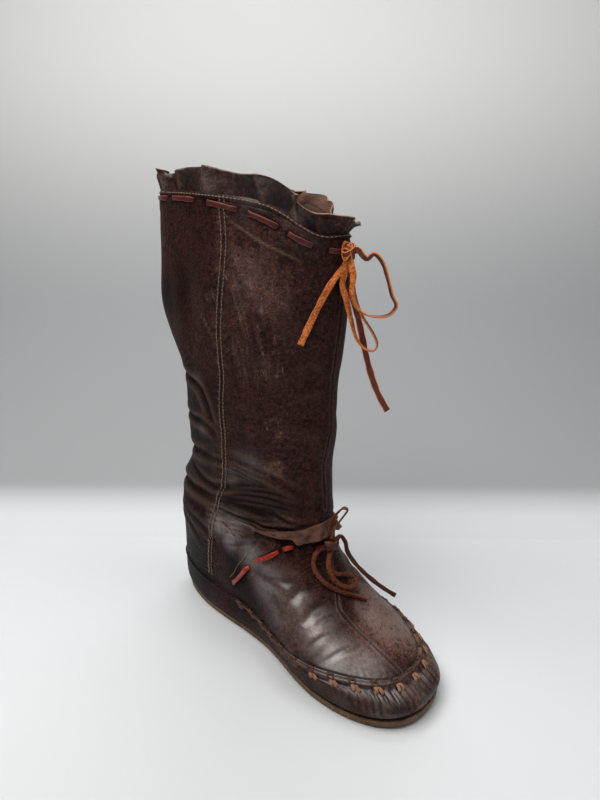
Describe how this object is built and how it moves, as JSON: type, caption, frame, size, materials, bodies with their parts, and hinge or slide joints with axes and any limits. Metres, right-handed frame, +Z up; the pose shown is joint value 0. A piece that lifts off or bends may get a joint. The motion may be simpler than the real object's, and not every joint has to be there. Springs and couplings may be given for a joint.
{
  "type": "mukluk boot",
  "caption": "Tall soft brown leather mukluk boot with a laced moccasin foot, gathered collar frill, leather drawstrings tied in bows and a thin crepe sole, for the left foot.",
  "frame": {"origin": "on the floor under the heel, on the flat of the sole's bottom", "axes": "+X towards the toe, +Y towards the outer side of the left foot, +Z up"},
  "size_m": [0.2815, 0.1165, 0.3775],
  "materials": {
    "leather": "satin, worn",
    "suede": "rough",
    "lace_leather": "satin and rough sides",
    "crepe": "matte",
    "insole_leather": "matte"
  },
  "bodies": {
    "root": {"outsole": "crepe", "insole": "insole_leather", "upper": "leather", "collar_frill": "suede", "ankle_flap": "suede", "collar_lace": "lace_leather", "ankle_lace": "lace_leather", "moccasin_lace": "lace_leather", "collar_knot": "lace_leather", "collar_loop_wide": "lace_leather", "collar_loop_long": "lace_leather", "collar_end_short": "lace_leather", "collar_end_long": "lace_leather", "vamp_knot": "lace_leather", "vamp_loop_up": "lace_leather", "vamp_loop_low": "lace_leather", "vamp_end_near": "lace_leather", "vamp_end_far": "lace_leather"}
  },
  "joints": []
}
